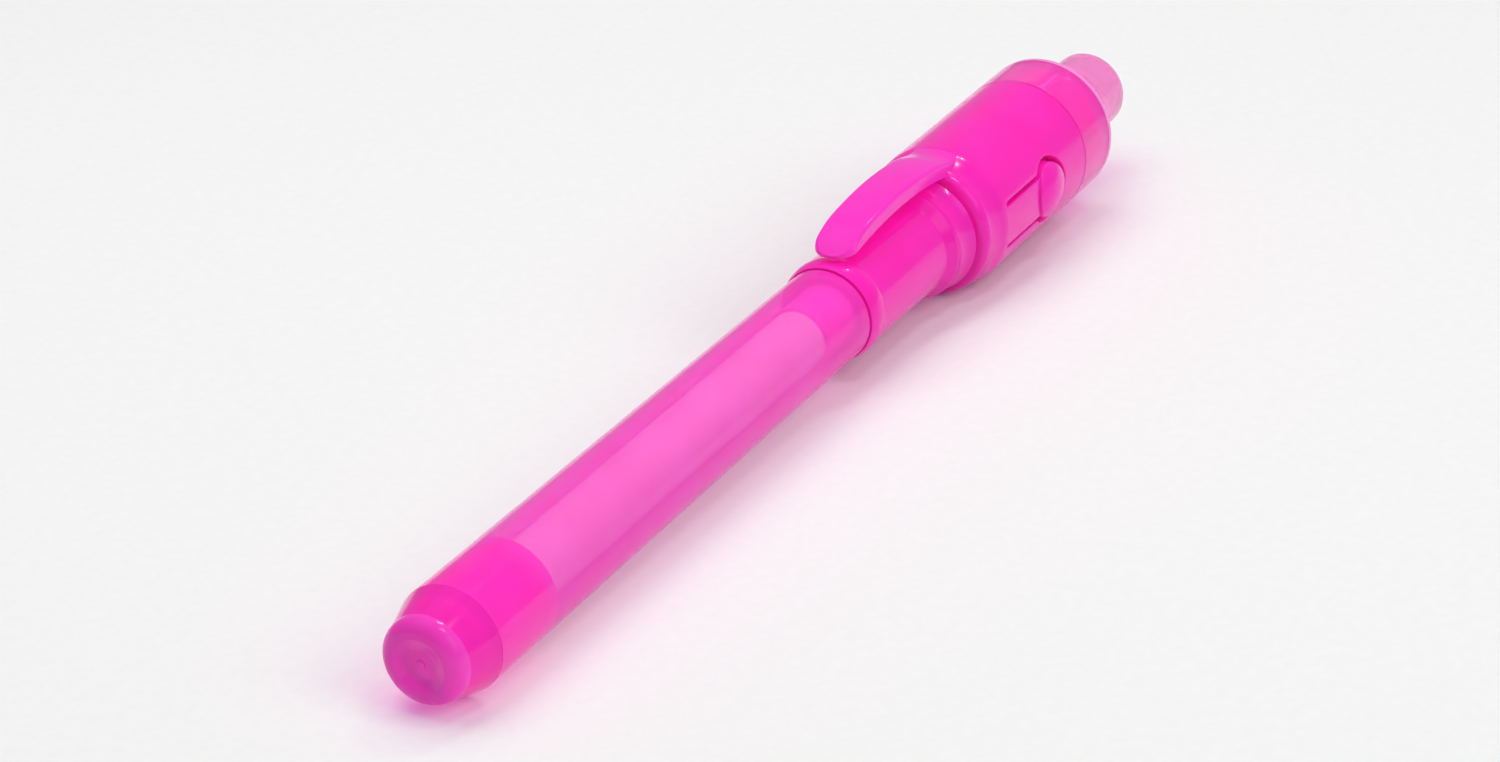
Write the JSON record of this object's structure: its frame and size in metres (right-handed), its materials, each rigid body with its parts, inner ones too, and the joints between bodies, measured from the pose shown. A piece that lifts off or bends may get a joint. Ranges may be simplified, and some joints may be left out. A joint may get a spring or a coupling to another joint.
{
  "type": "invisible ink pen",
  "caption": "Translucent felt-tip pen for invisible ink, with a pull-off cap that has a pocket clip, a press button and an ultraviolet lamp.",
  "frame": {"origin": "centre of the flat end face of the tail, on the pen's axis", "axes": "+X along the axis from the tail to the lamp, +Z through the pocket clip, the press button faces -Y"},
  "size_m": [0.1329, 0.0153, 0.0153],
  "materials": {
    "pen_shell": "translucent moulded plastic, glossy",
    "cap_shell": "translucent moulded plastic, glossy",
    "light_shell": "clear tinted plastic, glossy",
    "section": "moulded plastic, glossy",
    "fibre": "white polyester fibre",
    "film": "clear film",
    "nib_fibre": "hard white fibre",
    "carrier": "moulded plastic, matt",
    "cell_steel": "nickel-plated steel",
    "contact_metal": "spring brass",
    "lead_metal": "tinned steel",
    "lamp_epoxy": "clear epoxy"
  },
  "bodies": {
    "pen": {"barrel": "pen_shell", "tail_plug": "pen_shell", "ink_reservoir": "fibre", "reservoir_film": "film", "nib_section": "section", "nib": "nib_fibre"},
    "cap": {"cap_sleeve": "cap_shell", "light_housing": "cap_shell", "battery_carrier": "carrier", "button_cell_1": "cell_steel", "button_cell_2": "cell_steel", "button_cell_3": "cell_steel", "contact_strip": "contact_metal", "led_lens": "lamp_epoxy", "led_anode_lead": "lead_metal", "led_cathode_lead": "lead_metal"},
    "clip": {"pocket_clip": "cap_shell"},
    "button": {"press_button": "cap_shell"},
    "light_end": {"light_cap": "light_shell"}
  },
  "joints": [
    {"name": "cap_pull", "type": "slide", "parent": "pen", "child": "cap", "axis": [1, 0, 0], "range_m": [0, 0.03]},
    {"name": "clip_flex", "type": "hinge", "parent": "cap", "child": "clip", "pos_m": [0.0949, 0, 0.00666], "axis": [0, 1, 0], "range_deg": [0, 5], "stiffness_Nm_per_rad": 0.6},
    {"name": "button_press", "type": "hinge", "parent": "cap", "child": "button", "pos_m": [0.09725, -0.00668, 0], "axis": [0, 0, 1], "range_deg": [0, 3.8], "stiffness_Nm_per_rad": 0.2},
    {"name": "light_cap_pull", "type": "slide", "parent": "cap", "child": "light_end", "axis": [1, 0, 0], "range_m": [0, 0.022]}
  ]
}
